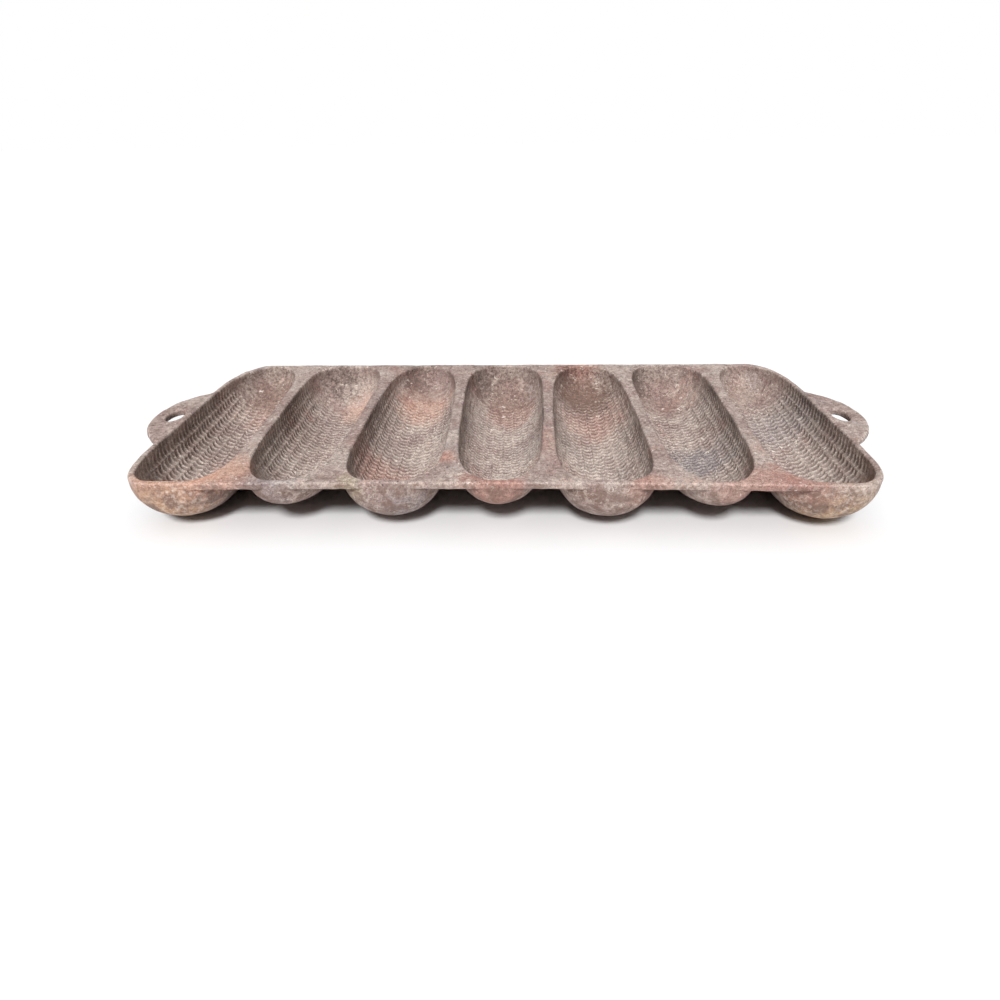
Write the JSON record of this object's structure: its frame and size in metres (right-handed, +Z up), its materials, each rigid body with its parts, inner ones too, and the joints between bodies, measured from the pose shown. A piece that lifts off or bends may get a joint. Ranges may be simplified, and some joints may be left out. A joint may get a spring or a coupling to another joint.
{
  "type": "corn stick pan",
  "caption": "Cast iron baking pan with a row of ear-of-corn shaped moulds lying head to tail in a thin plate, and a holed hanging handle at each end.",
  "frame": {"origin": "on the surface that the pan stands on, under the middle of the pan", "axes": "+X along the pan to its right handle, +Y to the back of the pan, +Z up out of the moulds"},
  "size_m": [0.3426, 0.146, 0.0253],
  "materials": {
    "iron": "old sand-cast iron, dry, mottled with rust"
  },
  "bodies": {
    "root": {"top_plate": "iron", "ear_cup_1": "iron", "ear_cup_2": "iron", "ear_cup_3": "iron", "ear_cup_4": "iron", "ear_cup_5": "iron", "ear_cup_6": "iron", "ear_cup_7": "iron", "left_handle": "iron", "right_handle": "iron"}
  },
  "joints": []
}
